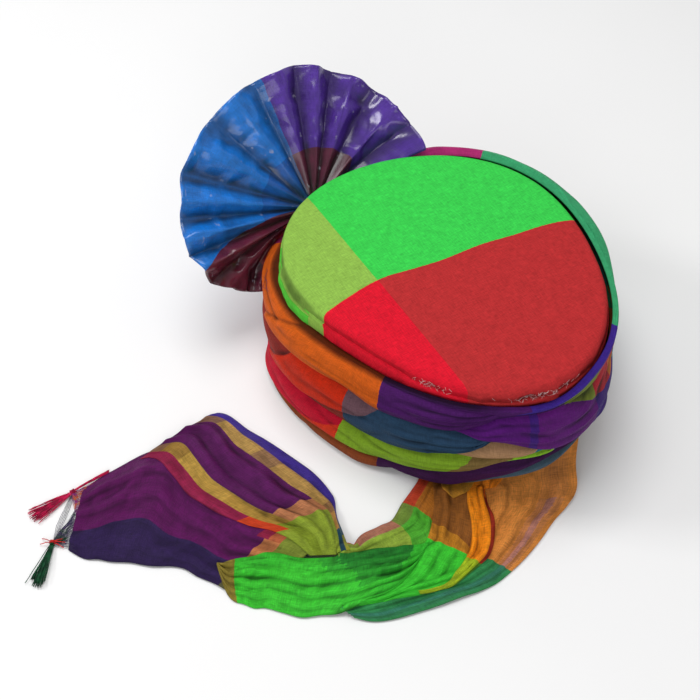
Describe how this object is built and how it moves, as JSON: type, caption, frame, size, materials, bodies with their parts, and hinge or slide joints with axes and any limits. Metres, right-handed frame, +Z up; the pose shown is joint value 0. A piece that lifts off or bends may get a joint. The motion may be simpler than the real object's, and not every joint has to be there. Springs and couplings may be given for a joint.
{
  "type": "tied turban pagri",
  "caption": "Tied turban with a padded crown, wound cloth bands, a stiff pleated fan at the front and a folded tail with tassels laid on the surface.",
  "frame": {"origin": "middle of the head opening, on the surface that the rim rests on", "axes": "+Z up through the crown; -Y to the front, where the fan stands; +X to the side where the tail lies"},
  "size_m": [0.473, 0.3662, 0.1699],
  "materials": {
    "crown": "padded crown covered in checked cloth, matt",
    "cap": "cap of plain cloth below the crown, matt",
    "cap_flare": "padded flare of plain cloth below the crown, matt",
    "wrap_top_roll": "wound silk-cotton cloth, orange turning purple and teal",
    "wrap_cross_band": "wound silk-cotton cloth, purple",
    "wrap_upper_band": "wound silk-cotton cloth, orange-red turning blue-grey",
    "wrap_tucked_band": "wound silk-cotton cloth, beige and teal",
    "wrap_middle_band": "wound silk-cotton cloth, crimson turning lime",
    "wrap_lower_band": "wound silk-cotton cloth, brown turning dark purple",
    "wrap_base_band": "wound silk-cotton cloth, blue-grey",
    "fan": "starched pleated cloth, glossy, blue and purple",
    "fan_neck": "gathered starched cloth, maroon",
    "tail_outer_panel": "folded shot cloth, copper brown and teal",
    "tail_inner_panel": "folded shot cloth, brown and green",
    "tail_ribbon_fold": "narrow fold of cloth, orange",
    "tail_green_fold": "folded shot cloth, bright green",
    "tail_end_lower": "folded shot cloth, purple and indigo",
    "tail_end_upper": "folded shot cloth, purple with gold woven stripes",
    "tassel_pink": "pink thread",
    "tassel_green": "dark green thread"
  },
  "bodies": {
    "root": {"crown": "crown", "cap": "cap", "cap_flare": "cap_flare", "wrap_top_roll": "wrap_top_roll", "wrap_cross_band": "wrap_cross_band", "wrap_upper_band": "wrap_upper_band", "wrap_tucked_band": "wrap_tucked_band", "wrap_middle_band": "wrap_middle_band", "wrap_lower_band": "wrap_lower_band", "wrap_base_band": "wrap_base_band", "fan": "fan", "fan_neck": "fan_neck", "tail_outer_panel": "tail_outer_panel", "tail_inner_panel": "tail_inner_panel", "tail_ribbon_fold": "tail_ribbon_fold", "tail_green_fold": "tail_green_fold", "tail_end_lower": "tail_end_lower", "tail_end_upper": "tail_end_upper", "tassel_pink": "tassel_pink", "tassel_green": "tassel_green"}
  },
  "joints": []
}
